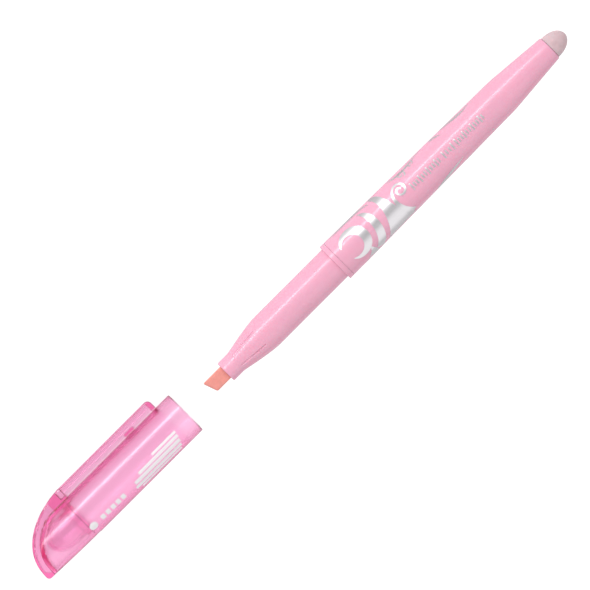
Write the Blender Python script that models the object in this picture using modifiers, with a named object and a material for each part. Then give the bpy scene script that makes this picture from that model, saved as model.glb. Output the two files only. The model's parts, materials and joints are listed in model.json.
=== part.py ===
"""Highlighter with its cap off, as an assembly of nine moulded, felt and film pieces.

Every piece is modelled standing up, in one of two frames that share the pen's axis: +Z runs towards the
eraser, and +X towards the side of the clip. The pen's frame starts at the collar that stops the cap, and the
cap's frame at the cap's mouth. Both frames are then laid down together, with the eraser towards world +X, so
that the cap's tube and the lower edge of its clip touch the floor at z = 0.
"""

import math

import bmesh
import bpy
from mathutils import Matrix, Vector

MM = 0.001

# Driving dimensions, in metres.
FIT_GAP = 0.3 * MM
RUNNING_GAP = 0.2 * MM
CUT_MARGIN = 1.0 * MM
ROUND_STEPS = 40
CURVE_STEPS = 10

COLLAR_RADIUS = 5.6 * MM
COLLAR_LENGTH = 1.4 * MM
BARREL_LENGTH = 77.7 * MM
BARREL_DRAFT_END = 57.0 * MM
BARREL_TAIL_START = 65.0 * MM
BARREL_DRAFT_RADIUS = 4.98 * MM
BARREL_SHOULDER = (4.96 * MM, 60.4 * MM)
BARREL_TAIL_RADIUS = 4.57 * MM
BARREL_END_RADIUS = 3.5 * MM
BARREL_EDGE = 0.25 * MM
BARREL_BORE = 4.75 * MM
BARREL_BORE_SLACK = 1.5 * MM
BARREL_BORE_STEP = 0.5 * MM
BARREL_INNER = 4.2 * MM
BARREL_INNER_SLACK = 2.0 * MM
TAIL_INNER = (3.15 * MM, 68.0 * MM)
TAIL_FLOOR_RADIUS = 2.9 * MM
TAIL_NECK_RADIUS = 2.5 * MM
TAIL_NECK_LENGTH = 2.5 * MM

GRIP_RADIUS = 4.78 * MM
GRIP_LENGTH = 24.3 * MM
LIP_RADIUS = 3.05 * MM
LIP_START = 36.0 * MM
LIP_EDGE = 0.3 * MM
FLARE_REAR_HANDLE = 28.2 * MM
FLARE_FRONT_HANDLE = 35.4 * MM
SECTION_LENGTH = 39.5 * MM
SPIGOT_LENGTH = 10.0 * MM
SECTION_BORE = 4.0 * MM
SECTION_BORE_DEPTH = 22.0 * MM
SECTION_HOLE_RADIUS = 1.0 * MM
SECTION_HOLE_TAPER = 1.0 * MM
FLUTE_COUNT = 6
FLUTE_WIDTH = 0.7 * MM
FLUTE_FLOOR = 3.75 * MM
FLUTE_REAR = 27.0 * MM
FLUTE_LENGTH = 8.0 * MM

NIB_WIDTH = 4.0 * MM
NIB_THICKNESS = 3.0 * MM
NIB_LONG_REACH = 6.25 * MM
NIB_SHORT_REACH = 4.85 * MM
NIB_STALK_END = 14.5 * MM
NIB_STALK_HALF = 1.0 * MM
NIB_TAPER_LENGTH = 6.0 * MM
NIB_GAP = 0.15 * MM
NIB_EDGE = 0.4 * MM

RESERVOIR_RADIUS = 3.2 * MM
RESERVOIR_START = 20.0 * MM
RESERVOIR_END = 54.0 * MM
RESERVOIR_SOCKET = 7.0 * MM
RESERVOIR_SOCKET_RADIUS = 2.9 * MM
RESERVOIR_SOCKET_FLOOR = 1.6 * MM
FILM_THICKNESS = 0.3 * MM
FILM_SETBACK = 0.5 * MM

ERASER_RADIUS = 3.17 * MM
ERASER_LENGTH = 5.35 * MM
ERASER_SKIRT = 1.6 * MM
ERASER_SKIRT_DRAFT = 0.1 * MM
ERASER_STEM_RADIUS = 2.2 * MM
ERASER_BARB_RADIUS = 2.6 * MM
ERASER_BARB_LENGTH = 1.0 * MM
ERASER_STEM_LENGTH = 5.0 * MM

CAP_RADIUS = 6.245 * MM
CAP_LENGTH = 54.9 * MM
CAP_TO_COLLAR = 54.0 * MM
CAP_BORE = 5.1 * MM
CAP_MOUTH_BORE = 5.3 * MM
CAP_MOUTH_DEPTH = 4.2 * MM
CAP_MOUTH_STEP = 0.3 * MM
TAIL_WALL = 1.0 * MM
TAIL_FLAT_START = 40.0 * MM
TAIL_FLAT_HEIGHT = 5.7 * MM
TAIL_TIP_HEIGHT = 4.8 * MM
TAIL_ROOT_HANDLE = 41.7 * MM
TAIL_TIP_HANDLE = (6.7 * MM, 55.2 * MM)
TAIL_CORNER = 0.7 * MM

CLIP_HEIGHT = 9.23 * MM
CLIP_WIDTH = 5.0 * MM
CLIP_DEPTH = 2.8 * MM
CLIP_HINGE_DEPTH = 1.225 * MM
CLIP_START = 4.6 * MM
CLIP_ROOT = 36.7 * MM
CLIP_CORNER = 1.3 * MM
CLIP_CORNER_HANDLE = 0.45
CLIP_EDGE = 0.4 * MM
CLIP_CHANNEL_WIDTH = 3.0 * MM
CLIP_CHANNEL_ROOF = 8.5 * MM
CLIP_CHANNEL_START = 6.6 * MM
CLIP_CHANNEL_END = 35.0 * MM
CLIP_PAD_START = 12.3 * MM
CLIP_PAD_END = 15.3 * MM
CLIP_PAD_HEIGHT = 0.08 * MM
CLIP_PAD_INSET = 0.3 * MM
CLIP_PAD_WIDTH = 2.0 * MM
SPINE_DEPTH = 2.2 * MM
SPINE_ROOT = 4.4 * MM
SPINE_INSIDE = 0.7 * MM
SPINE_FOOT = 0.05 * MM
SPINE_TIP = 0.9 * MM

LINER_START = 37.4 * MM
LINER_FLANGE_LENGTH = 2.2 * MM
LINER_FLANGE_RADIUS = 4.8 * MM
LINER_RADIUS = 4.2 * MM
LINER_SEAL_RADIUS = 3.25 * MM
LINER_CHAMBER_RADIUS = 3.4 * MM
LINER_DOME_START = 43.0 * MM
LINER_DOME_LENGTH = 6.0 * MM
LINER_WALL = 1.0 * MM
LINER_SEAL_TAPERS = (1.0 * MM, 0.5 * MM)
LINER_FLANGE_TAPER = 0.3 * MM

# The clip's lower edge and the cap's tube touch the floor together at this turn below the horizontal.
CLIP_REACH = CLIP_HEIGHT - CLIP_EDGE
CLIP_HALF = CLIP_WIDTH / 2 - CLIP_EDGE
LEAN = math.asin((CAP_RADIUS - CLIP_EDGE) / math.hypot(CLIP_REACH, CLIP_HALF))
LEAN -= math.atan2(CLIP_HALF, CLIP_REACH)

PINK = (0.84, 0.42, 0.52)
CLEAR_PINK = (0.87, 0.35, 0.55)


def material(name, colour, roughness, metallic=0.0, transmission=0.0):
    made = bpy.data.materials.new(name)
    made.use_nodes = True
    shader = made.node_tree.nodes["Principled BSDF"]
    shader.inputs["Base Color"].default_value = (*colour, 1.0)
    shader.inputs["Roughness"].default_value = roughness
    shader.inputs["Metallic"].default_value = metallic
    shader.inputs["Transmission Weight"].default_value = transmission
    return made


def frame(name, collection, matrix, parent=None):
    """An empty that holds pieces. The matrix is in its parent's frame."""
    empty = bpy.data.objects.new(name, None)
    empty.parent = parent
    empty.matrix_local = matrix
    collection.objects.link(empty)
    return empty


def place(name, mesh, holder, collection, finish=None):
    """Adds a mesh as an object in the frame that holder gives."""
    piece = bpy.data.objects.new(name, mesh)
    piece.parent = holder
    collection.objects.link(piece)
    if finish:
        mesh.materials.append(finish)
    return piece


def bezier(start, start_handle, end_handle, end, steps=CURVE_STEPS):
    """Points along one cubic curve, both ends included."""
    controls = [Vector(point) for point in (start, start_handle, end_handle, end)]
    points = []
    for step in range(steps + 1):
        t = step / steps
        weights = ((1 - t) ** 3, 3 * (1 - t) ** 2 * t, 3 * (1 - t) * t**2, t**3)
        points.append(sum((w * c for w, c in zip(weights, controls)), Vector((0, 0))))
    return points


def inward(points, distance):
    """The same curve moved to its right-hand side, which on the tail's outline is inwards."""
    moved = []
    for index, point in enumerate(points):
        ahead = points[min(index + 1, len(points) - 1)]
        behind = points[max(index - 1, 0)]
        along = (ahead - behind).normalized()
        moved.append(point + distance * Vector((along.y, -along.x)))
    return moved


def quarter_ellipse(start, radius, length, steps=CURVE_STEPS):
    """(radius, height) points of a dome that starts at height start and reaches the axis."""
    angles = [math.pi / 2 * step / steps for step in range(steps)]
    points = [(radius * math.cos(a), start + length * math.sin(a)) for a in angles]
    return [*points, (0, start + length)]


def turned(name, outline, holder, collection, finish=None):
    """A round piece from (radius, height) points that run down its outer side.

    An outline that starts off the axis makes a ring.
    """
    mesh = bpy.data.meshes.new(name)
    shape = bmesh.new()
    corners = [shape.verts.new((radius, 0, height)) for radius, height in outline]
    for upper, lower in zip(corners, corners[1:]):
        shape.edges.new((upper, lower))
    if outline[0][0] > 0:
        shape.edges.new((corners[-1], corners[0]))
    shape.to_mesh(mesh)
    shape.free()
    piece = place(name, mesh, holder, collection, finish)
    screw = piece.modifiers.new("turn", "SCREW")
    screw.steps = ROUND_STEPS
    screw.render_steps = ROUND_STEPS
    screw.use_smooth_shade = True
    screw.use_merge_vertices = True
    screw.merge_threshold = 0.001 * MM
    return piece


def slab(name, outline, thickness, holder, collection, finish=None, edge=0.0):
    """A flat outline in the frame's X and Z, made this thick along Y, with its two rims rounded by edge."""
    flat = bpy.data.curves.new(name, "CURVE")
    flat.dimensions = "2D"
    flat.fill_mode = "BOTH"
    flat.extrude = thickness / 2 - edge
    flat.bevel_depth = edge
    flat.bevel_resolution = 1
    flat.offset = -edge
    line = flat.splines.new("POLY")
    line.points.add(len(outline) - 1)
    for point, (across, along) in zip(line.points, outline):
        point.co = (across, along, 0, 1)
    line.use_cyclic_u = True
    drawn = bpy.data.objects.new(name, flat)
    collection.objects.link(drawn)
    graph = bpy.context.evaluated_depsgraph_get()
    mesh = bpy.data.meshes.new_from_object(drawn.evaluated_get(graph))
    bpy.data.objects.remove(drawn)
    bpy.data.curves.remove(flat)
    shape = bmesh.new()
    shape.from_mesh(mesh)
    bmesh.ops.remove_doubles(shape, verts=shape.verts, dist=0.001 * MM)
    bmesh.ops.transform(shape, matrix=Matrix.Rotation(math.pi / 2, 4, "X"), verts=shape.verts)
    bmesh.ops.recalc_face_normals(shape, faces=shape.faces)
    shape.to_mesh(mesh)
    shape.free()
    mesh.name = name
    return place(name, mesh, holder, collection, finish)


def box(name, size, centre, holder, collection, finish=None):
    mesh = bpy.data.meshes.new(name)
    shape = bmesh.new()
    matrix = Matrix.Translation(centre) @ Matrix.Diagonal((*size, 1))
    bmesh.ops.create_cube(shape, size=1.0, matrix=matrix)
    shape.to_mesh(mesh)
    shape.free()
    return place(name, mesh, holder, collection, finish)


def round_upright_edges(piece, width):
    """Bevels a box's four edges along Z."""
    weights = piece.data.attributes.new("bevel_weight_edge", "FLOAT", "EDGE")
    for edge in piece.data.edges:
        ends = [piece.data.vertices[corner].co for corner in edge.vertices]
        upright = (ends[0] - ends[1]).to_2d().length < 0.01 * MM
        weights.data[edge.index].value = float(upright)
    bevel = piece.modifiers.new("edges", "BEVEL")
    bevel.width = width
    bevel.segments = 2
    bevel.limit_method = "WEIGHT"


def boolean(piece, other, operation):
    modifier = piece.modifiers.new(other.name, "BOOLEAN")
    modifier.operation = operation
    modifier.object = other
    other.hide_render = True
    other.display_type = "WIRE"


def barrel(holder, parts, finish):
    """The drafted tube, its tapered tail and, inside, a socket for the section and a neck for the eraser."""
    rear = BARREL_LENGTH
    start = COLLAR_LENGTH + RUNNING_GAP
    shoulder = [
        (BARREL_TAIL_RADIUS, BARREL_TAIL_START),
        BARREL_SHOULDER,
        BARREL_SHOULDER,
        (BARREL_DRAFT_RADIUS, BARREL_DRAFT_END),
    ]
    socket_end = COLLAR_LENGTH + SPIGOT_LENGTH + BARREL_BORE_SLACK
    outline = [
        (TAIL_NECK_RADIUS, rear),
        (BARREL_END_RADIUS - BARREL_EDGE, rear),
        (BARREL_END_RADIUS, rear - BARREL_EDGE),
        *(tuple(point) for point in bezier(*shoulder, steps=6)),
        (COLLAR_RADIUS, start),
        (BARREL_BORE, start),
        (BARREL_BORE, socket_end),
        (BARREL_INNER, socket_end + BARREL_BORE_STEP),
        (BARREL_INNER, RESERVOIR_END + BARREL_INNER_SLACK),
        TAIL_INNER,
        (TAIL_FLOOR_RADIUS, rear - TAIL_NECK_LENGTH),
        (TAIL_NECK_RADIUS, rear - TAIL_NECK_LENGTH),
    ]
    return turned("barrel", outline, holder, parts, finish)


def front_section(holder, parts, cutters, finish):
    """The nib holder: collar, grip, fluted flare and lip, with a spigot that goes into the barrel."""
    back = COLLAR_LENGTH + SPIGOT_LENGTH
    spigot = BARREL_BORE - FIT_GAP
    flare = bezier(
        (GRIP_RADIUS, -GRIP_LENGTH),
        (GRIP_RADIUS, -FLARE_REAR_HANDLE),
        (LIP_RADIUS, -FLARE_FRONT_HANDLE),
        (LIP_RADIUS, -LIP_START),
    )
    outline = [
        (SECTION_BORE, back),
        (spigot - LIP_EDGE, back),
        (spigot, back - LIP_EDGE),
        (spigot, COLLAR_LENGTH),
        (COLLAR_RADIUS, COLLAR_LENGTH),
        (COLLAR_RADIUS, 0),
        (GRIP_RADIUS, 0),
        *(tuple(point) for point in flare),
        (LIP_RADIUS, -SECTION_LENGTH + LIP_EDGE),
        (LIP_RADIUS - LIP_EDGE, -SECTION_LENGTH),
        (SECTION_HOLE_RADIUS, -SECTION_LENGTH),
        (SECTION_HOLE_RADIUS, -SECTION_BORE_DEPTH - SECTION_HOLE_TAPER),
        (SECTION_BORE, -SECTION_BORE_DEPTH),
    ]
    section = turned("front_section", outline, holder, parts, finish)
    reach = SECTION_LENGTH - SECTION_BORE_DEPTH + 4 * CUT_MARGIN
    size = (NIB_WIDTH + 2 * NIB_GAP, NIB_THICKNESS + 2 * NIB_GAP, reach)
    centre = (0, 0, -SECTION_LENGTH - CUT_MARGIN + reach / 2)
    slot = box("nib_slot", size, centre, holder, cutters)
    round_upright_edges(slot, NIB_EDGE + NIB_GAP)
    boolean(section, slot, "DIFFERENCE")
    for index in range(FLUTE_COUNT):
        turn = Matrix.Rotation(2 * math.pi * index / FLUTE_COUNT, 4, "Z")
        depth = GRIP_RADIUS - FLUTE_FLOOR + CUT_MARGIN
        centre = (FLUTE_FLOOR + depth / 2, 0, -FLUTE_REAR - FLUTE_LENGTH / 2)
        flute = box(f"flute_{index + 1}", (depth, FLUTE_WIDTH, FLUTE_LENGTH), centre, holder, cutters)
        flute.matrix_local = turn
        boolean(section, flute, "DIFFERENCE")
    return section


def nib(holder, parts, finish):
    """A felt bar with a slanted chisel end, its long point on the clip's side, and a tapered stalk."""
    half = NIB_WIDTH / 2
    tip = -SECTION_LENGTH
    end = -NIB_STALK_END
    outline = [
        (half, tip - NIB_LONG_REACH),
        (half, end - NIB_TAPER_LENGTH),
        (NIB_STALK_HALF, end),
        (-NIB_STALK_HALF, end),
        (-half, end - NIB_TAPER_LENGTH),
        (-half, tip - NIB_SHORT_REACH),
    ]
    return slab("nib", outline, NIB_THICKNESS, holder, parts, finish, NIB_EDGE)


def ink_reservoir(holder, parts, finish):
    """The fibre core, with a tapered socket where the nib's stalk meets it."""
    outline = [
        (0, RESERVOIR_END),
        (RESERVOIR_RADIUS, RESERVOIR_END),
        (RESERVOIR_RADIUS, -RESERVOIR_START),
        (RESERVOIR_SOCKET_RADIUS, -RESERVOIR_START),
        (RESERVOIR_SOCKET_FLOOR, -RESERVOIR_START + RESERVOIR_SOCKET),
        (0, -RESERVOIR_START + RESERVOIR_SOCKET),
    ]
    return turned("ink_reservoir", outline, holder, parts, finish)


def reservoir_film(holder, parts, finish):
    """The thin sleeve that wraps the fibre core."""
    inner = RESERVOIR_RADIUS + RUNNING_GAP
    outer = inner + FILM_THICKNESS
    end = RESERVOIR_END - FILM_SETBACK
    start = -RESERVOIR_START + FILM_SETBACK
    outline = [(inner, end), (outer, end), (outer, start), (inner, start)]
    return turned("reservoir_film", outline, holder, parts, finish)


def eraser(holder, parts, finish):
    """The domed tip, with a stem through the barrel's neck and a barb behind it."""
    seat = BARREL_LENGTH + RUNNING_GAP
    skirt = seat + ERASER_SKIRT
    rise = ERASER_LENGTH - ERASER_SKIRT - RUNNING_GAP
    dome = quarter_ellipse(skirt, ERASER_RADIUS - ERASER_SKIRT_DRAFT, rise)
    neck = BARREL_LENGTH - TAIL_NECK_LENGTH - RUNNING_GAP
    outline = [
        *reversed(dome),
        (ERASER_RADIUS, seat),
        (ERASER_STEM_RADIUS, seat),
        (ERASER_STEM_RADIUS, neck),
        (ERASER_BARB_RADIUS, neck),
        (ERASER_STEM_RADIUS, neck - ERASER_BARB_LENGTH),
        (ERASER_STEM_RADIUS, BARREL_LENGTH - ERASER_STEM_LENGTH),
        (0, BARREL_LENGTH - ERASER_STEM_LENGTH),
    ]
    return turned("eraser", outline, holder, parts, finish)


def tail_curve():
    """The outer line of the clip's spine over the tail, as (height off the axis, z) from root to tip."""
    return bezier(
        (CLIP_HEIGHT, -CLIP_ROOT),
        (CLIP_HEIGHT, -TAIL_ROOT_HANDLE),
        (TAIL_TIP_HANDLE[0], -TAIL_TIP_HANDLE[1]),
        (-TAIL_TIP_HEIGHT, -CAP_LENGTH),
        steps=16,
    )


def tail_outline(depth, wall):
    """The tail's side view, this far inside the spine's outer line and with this much wall below."""
    upper = [point for point in inward(tail_curve(), depth) if point.x > -TAIL_TIP_HEIGHT + wall]
    slope = (CAP_RADIUS - TAIL_FLAT_HEIGHT) / (CAP_LENGTH - TAIL_FLAT_START)
    tip = upper[-1].y
    floor = -TAIL_FLAT_HEIGHT + wall
    margin = 3 * CUT_MARGIN
    flat_start = -TAIL_FLAT_START + 2 * CUT_MARGIN
    flat_floor = floor - slope * (CAP_LENGTH + flat_start)
    return [
        (CAP_RADIUS + margin, margin),
        (CAP_RADIUS + margin, upper[0].y),
        *(tuple(point) for point in upper),
        (floor + TAIL_CORNER, tip),
        (floor, tip + TAIL_CORNER),
        (flat_floor, flat_start),
        (-CAP_RADIUS - margin, flat_start),
        (-CAP_RADIUS - margin, margin),
    ]


def cap_shell(holder, parts, cutters, finish):
    """The clear tube, cut to a wedge at its tail, with the spine that carries the clip."""
    body = [(0, 0), (CAP_RADIUS, 0), (CAP_RADIUS, -CAP_LENGTH), (0, -CAP_LENGTH)]
    shell = turned("cap_shell", body, holder, parts, finish)
    wide = 4 * CAP_RADIUS
    side = slab("tail_side", tail_outline(SPINE_DEPTH, 0), wide, holder, cutters)
    boolean(shell, side, "INTERSECT")
    floor = -TAIL_FLAT_HEIGHT - SPINE_FOOT
    inner = inward(tail_curve(), SPINE_DEPTH + SPINE_INSIDE)
    inner = [point for point in inner if -TAIL_TIP_HEIGHT < point.x < SPINE_ROOT]
    rib = [
        (SPINE_ROOT, -CLIP_ROOT),
        *(tuple(point) for point in tail_curve()),
        (floor, -CAP_LENGTH + SPINE_TIP),
        (floor, -CAP_LENGTH + SPINE_DEPTH + CUT_MARGIN),
        *(tuple(point) for point in reversed(inner)),
    ]
    spine = slab("spine", rib, CLIP_WIDTH, holder, cutters, edge=CLIP_EDGE)
    boolean(shell, spine, "UNION")
    mouth = [
        (0, CUT_MARGIN),
        (CAP_MOUTH_BORE, CUT_MARGIN),
        (CAP_MOUTH_BORE, -CAP_MOUTH_DEPTH),
        (CAP_BORE, -CAP_MOUTH_DEPTH - CAP_MOUTH_STEP),
        (CAP_BORE, -CAP_LENGTH + TAIL_WALL),
        (0, -CAP_LENGTH + TAIL_WALL),
    ]
    bore = turned("bore", mouth, holder, cutters)
    hollow = slab("tail_hollow", tail_outline(SPINE_DEPTH + TAIL_WALL, TAIL_WALL), wide, holder, cutters)
    boolean(bore, hollow, "INTERSECT")
    boolean(shell, bore, "DIFFERENCE")
    return shell


def clip(holder, parts, cutters, finish):
    """The arm, drawn from its own hinge line at the root. Its underside is a channel with one grip pad."""
    root = holder.matrix_local.translation
    top = CLIP_HEIGHT - root.x
    under = top - CLIP_DEPTH
    near = -CLIP_START - root.z
    far = -CLIP_ROOT + FIT_GAP - root.z
    corner = bezier(
        (top, near - CLIP_CORNER),
        (top, near - CLIP_CORNER_HANDLE * CLIP_CORNER),
        (top - CLIP_CORNER_HANDLE * CLIP_CORNER, near),
        (top - CLIP_CORNER, near),
        steps=5,
    )
    side = [(under, far), (top, far), *(tuple(point) for point in corner), (under, near)]
    arm = slab("clip", side, CLIP_WIDTH, holder, parts, finish, CLIP_EDGE)
    roof = CLIP_CHANNEL_ROOF - root.x
    pad = under - CLIP_PAD_HEIGHT
    stretches = [
        (CLIP_CHANNEL_START, CLIP_PAD_START),
        (CLIP_PAD_END, CLIP_CHANNEL_END),
    ]
    for number, (first, last) in enumerate(stretches, 1):
        size = (roof - pad + CUT_MARGIN, CLIP_CHANNEL_WIDTH, last - first)
        centre = (roof - size[0] / 2, 0, -(first + last) / 2 - root.z)
        boolean(arm, box(f"channel_{number}", size, centre, holder, cutters), "DIFFERENCE")
    size = (roof - pad, CLIP_PAD_WIDTH, CLIP_PAD_END - CLIP_PAD_START - 2 * CLIP_PAD_INSET)
    centre = ((roof + pad) / 2, 0, -(CLIP_PAD_START + CLIP_PAD_END) / 2 - root.z)
    boolean(arm, box("grip_pad", size, centre, holder, cutters), "UNION")
    return arm


def inner_cap(holder, parts, finish):
    """The liner in the cap's tail: a flange, a ring that seals round the lip, and a domed nib chamber."""
    flange_end = -LINER_START - LINER_FLANGE_LENGTH
    seal_end = flange_end - LINER_SEAL_TAPERS[0]
    outside = quarter_ellipse(LINER_DOME_START, LINER_RADIUS, LINER_DOME_LENGTH)
    inside = quarter_ellipse(LINER_DOME_START, LINER_CHAMBER_RADIUS, LINER_DOME_LENGTH - LINER_WALL)
    outline = [
        *((radius, -height) for radius, height in reversed(inside)),
        (LINER_CHAMBER_RADIUS, seal_end - LINER_SEAL_TAPERS[1]),
        (LINER_SEAL_RADIUS, seal_end),
        (LINER_SEAL_RADIUS, -LINER_START),
        (LINER_FLANGE_RADIUS, -LINER_START),
        (LINER_FLANGE_RADIUS, flange_end),
        (LINER_RADIUS, flange_end - LINER_FLANGE_TAPER),
        *((radius, -height) for radius, height in outside),
    ]
    return turned("inner_cap", outline, holder, parts, finish)


def main():
    for leftover in list(bpy.data.objects):
        bpy.data.objects.remove(leftover)
    parts = bpy.data.collections.new("Highlighter")
    cutters = bpy.data.collections.new("Highlighter cutters")
    for collection in (parts, cutters):
        bpy.context.scene.collection.children.link(collection)

    pink = material("moulded pink plastic", PINK, 0.25)
    clear = material("clear pink plastic", CLEAR_PINK, 0.08, transmission=0.8)
    felt = material("orange pink felt", (0.95, 0.36, 0.31), 0.85)
    rubber = material("greyish pink elastomer", (0.66, 0.48, 0.5), 0.55)
    fibre = material("inked fibre", (0.95, 0.45, 0.4), 0.9)
    film = material("milky film", (0.85, 0.82, 0.82), 0.35, transmission=0.3)

    # Laid down, a piece's +Z is world +X, and its +X points sideways and LEAN below the horizontal.
    laid = Matrix.Rotation(math.pi / 2 - LEAN, 4, "X") @ Matrix.Rotation(math.pi / 2, 4, "Y")
    front = -CAP_TO_COLLAR - CAP_LENGTH
    middle = (BARREL_LENGTH + ERASER_LENGTH + front) / 2
    clip_side = CLIP_REACH * math.cos(LEAN) + CLIP_HALF * math.sin(LEAN) + CLIP_EDGE
    collar = Vector((-middle, (CAP_RADIUS - clip_side) / 2, CAP_RADIUS))
    mouth = collar - Vector((CAP_TO_COLLAR, 0, 0))
    pen_frame = frame("pen_frame", parts, Matrix.Translation(collar) @ laid)
    cap_frame = frame("cap_frame", parts, Matrix.Translation(mouth) @ laid)
    hinge_line = Matrix.Translation(Vector((CLIP_HEIGHT - CLIP_HINGE_DEPTH, 0, -CLIP_ROOT)))
    clip_root = frame("clip_root", parts, hinge_line, cap_frame)

    barrel(pen_frame, parts, pink)
    front_section(pen_frame, parts, cutters, pink)
    nib(pen_frame, parts, felt)
    ink_reservoir(pen_frame, parts, fibre)
    reservoir_film(pen_frame, parts, film)
    eraser(pen_frame, parts, rubber)
    cap_shell(cap_frame, parts, cutters, clear)
    clip(clip_root, parts, cutters, clear)
    inner_cap(cap_frame, parts, clear)


main()
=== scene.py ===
"""Highlighter with its cap off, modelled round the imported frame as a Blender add-on.

Every piece is modelled standing up and then laid down. Standing, +Z runs towards the eraser, +X towards the
side of the clip and +Y is the side that carries the foil pattern. Heights on the pen count from the front face
of the collar that stops the cap, and heights on the cap count from the cap's mouth.
"""

import json
import math
from collections import namedtuple

import bpy
from mathutils import Matrix, Vector


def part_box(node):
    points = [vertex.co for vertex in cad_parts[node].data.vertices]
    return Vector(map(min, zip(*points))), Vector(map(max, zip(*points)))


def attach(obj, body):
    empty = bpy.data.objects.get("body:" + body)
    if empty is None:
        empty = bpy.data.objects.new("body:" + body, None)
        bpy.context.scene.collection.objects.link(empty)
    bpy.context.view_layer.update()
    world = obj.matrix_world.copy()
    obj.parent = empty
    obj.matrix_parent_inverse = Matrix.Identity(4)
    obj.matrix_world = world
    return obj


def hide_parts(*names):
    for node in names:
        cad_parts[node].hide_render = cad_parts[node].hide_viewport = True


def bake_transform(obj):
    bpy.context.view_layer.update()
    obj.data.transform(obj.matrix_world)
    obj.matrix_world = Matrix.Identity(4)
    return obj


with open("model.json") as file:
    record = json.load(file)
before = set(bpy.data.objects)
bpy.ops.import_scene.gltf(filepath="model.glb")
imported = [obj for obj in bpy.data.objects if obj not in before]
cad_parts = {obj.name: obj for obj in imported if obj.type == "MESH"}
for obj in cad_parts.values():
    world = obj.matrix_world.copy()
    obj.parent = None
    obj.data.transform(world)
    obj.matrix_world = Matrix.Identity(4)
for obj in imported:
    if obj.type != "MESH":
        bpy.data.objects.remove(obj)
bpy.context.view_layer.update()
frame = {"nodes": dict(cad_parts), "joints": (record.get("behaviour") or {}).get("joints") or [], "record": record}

bl_info = {
    "name": "Capped highlighter",
    "version": (1, 0, 0),
    "blender": (4, 5, 0),
    "location": "3D Viewport > Sidebar > Highlighter",
    "description": "Builds a twin-tone highlighter with a clear cap, a felt chisel nib and an eraser tip",
    "category": "Add Mesh",
}

MM = 0.001
AROUND = 128
WELD = 0.0004 * MM
SHARP = math.radians(32)


def joint_named(name):
    return next(joint for joint in frame["joints"] if joint["name"] == name)


# The three ways of the laid-down pen, read from the frame: out of the clip, up through the foil side, and
# along the pen towards its eraser.
CLIP_WAY = Vector(frame["record"]["mounts"][0]["axis"]).normalized()
FOIL_WAY = Vector(joint_named("clip_flex")["axis"]).normalized()
PEN_WAY = CLIP_WAY.cross(FOIL_WAY).normalized()

BARREL_LOW, BARREL_HIGH = (Vector(corner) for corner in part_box("barrel"))
CAP_LOW, CAP_HIGH = (Vector(corner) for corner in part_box("cap_shell"))
NIB_LOW, NIB_HIGH = (Vector(corner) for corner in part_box("nib"))
ERASER_LOW, ERASER_HIGH = (Vector(corner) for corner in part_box("eraser"))
BARREL_START = 1.6 * MM
JOINT = 1.44 * MM
AXIS = (BARREL_LOW + BARREL_HIGH) / 2
COLLAR_AT = Vector((BARREL_LOW.x - BARREL_START, AXIS.y, AXIS.z))
MOUTH_AT = Vector((CAP_HIGH.x, AXIS.y, AXIS.z))


# ---------------------------------------------------------------------------------------------------------
# Colours, materials and nodes
# ---------------------------------------------------------------------------------------------------------


def hex_colour(code):
    """An sRGB hex colour such as #F2AFC8 as linear red, green and blue."""
    shares = [int(code[first : first + 2], 16) / 255 for first in (1, 3, 5)]
    return tuple(s / 12.92 if s <= 0.04045 else ((s + 0.055) / 1.055) ** 2.4 for s in shares)


def shaded(colour, factor):
    return (*(min(1.0, share * factor) for share in colour), 1.0)


def add(tree, kind, inputs, **settings):
    """Adds a node. An input is a plain value, or the (node, output) that feeds it."""
    node = tree.nodes.new(kind)
    for setting, value in settings.items():
        setattr(node, setting, value)
    for socket, value in inputs.items():
        if isinstance(value, tuple) and isinstance(value[0], bpy.types.Node):
            tree.links.new(value[0].outputs[value[1]], node.inputs[socket])
        else:
            node.inputs[socket].default_value = value
    return node


def empty_material(name):
    """A material with an empty node tree, and its output node."""
    made = bpy.data.materials.new(name)
    made.use_nodes = True
    made.node_tree.nodes.clear()
    return made, made.node_tree


def object_place(tree, scale=(1.0, 1.0, 1.0)):
    """Object coordinates, stretched by scale."""
    where = add(tree, "ShaderNodeTexCoord", {})
    return add(tree, "ShaderNodeMapping", {"Vector": (where, "Object"), "Scale": scale})


def moulded_polypropylene(colour):
    """Polypropylene from a polished mould: an even, slightly milky colour, a soft gloss and faint flow marks."""
    made, tree = empty_material("moulded_polypropylene")
    place = object_place(tree)
    # Pigment flow about 9 mm across, and orange peel about 0.6 mm across.
    flow = add(tree, "ShaderNodeTexNoise", {"Vector": (place, 0), "Scale": 1 / (9 * MM), "Detail": 2.0})
    peel = add(tree, "ShaderNodeTexNoise", {"Vector": (place, 0), "Scale": 1 / (0.6 * MM), "Detail": 2.0})
    tint = add(
        tree,
        "ShaderNodeMix",
        {0: (flow, "Fac"), 6: shaded(colour, 0.965), 7: shaded(colour, 1.035)},
        data_type="RGBA",
    )
    gloss = add(
        tree,
        "ShaderNodeMapRange",
        {"Value": (peel, "Fac"), "To Min": 0.17, "To Max": 0.22},
    )
    bump = add(
        tree, "ShaderNodeBump", {"Height": (peel, "Fac"), "Strength": 0.04, "Distance": 0.002 * MM}
    )
    shader = add(
        tree,
        "ShaderNodeBsdfPrincipled",
        {
            "Base Color": (tint, 2),
            "Roughness": (gloss, "Result"),
            "IOR": 1.49,
            "Subsurface Weight": 0.25,
            "Subsurface Radius": (1.0, 0.45, 0.55),
            "Subsurface Scale": 1.2 * MM,
            "Normal": (bump, "Normal"),
        },
    )
    add(tree, "ShaderNodeOutputMaterial", {"Surface": (shader, "BSDF")})
    return made


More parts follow.
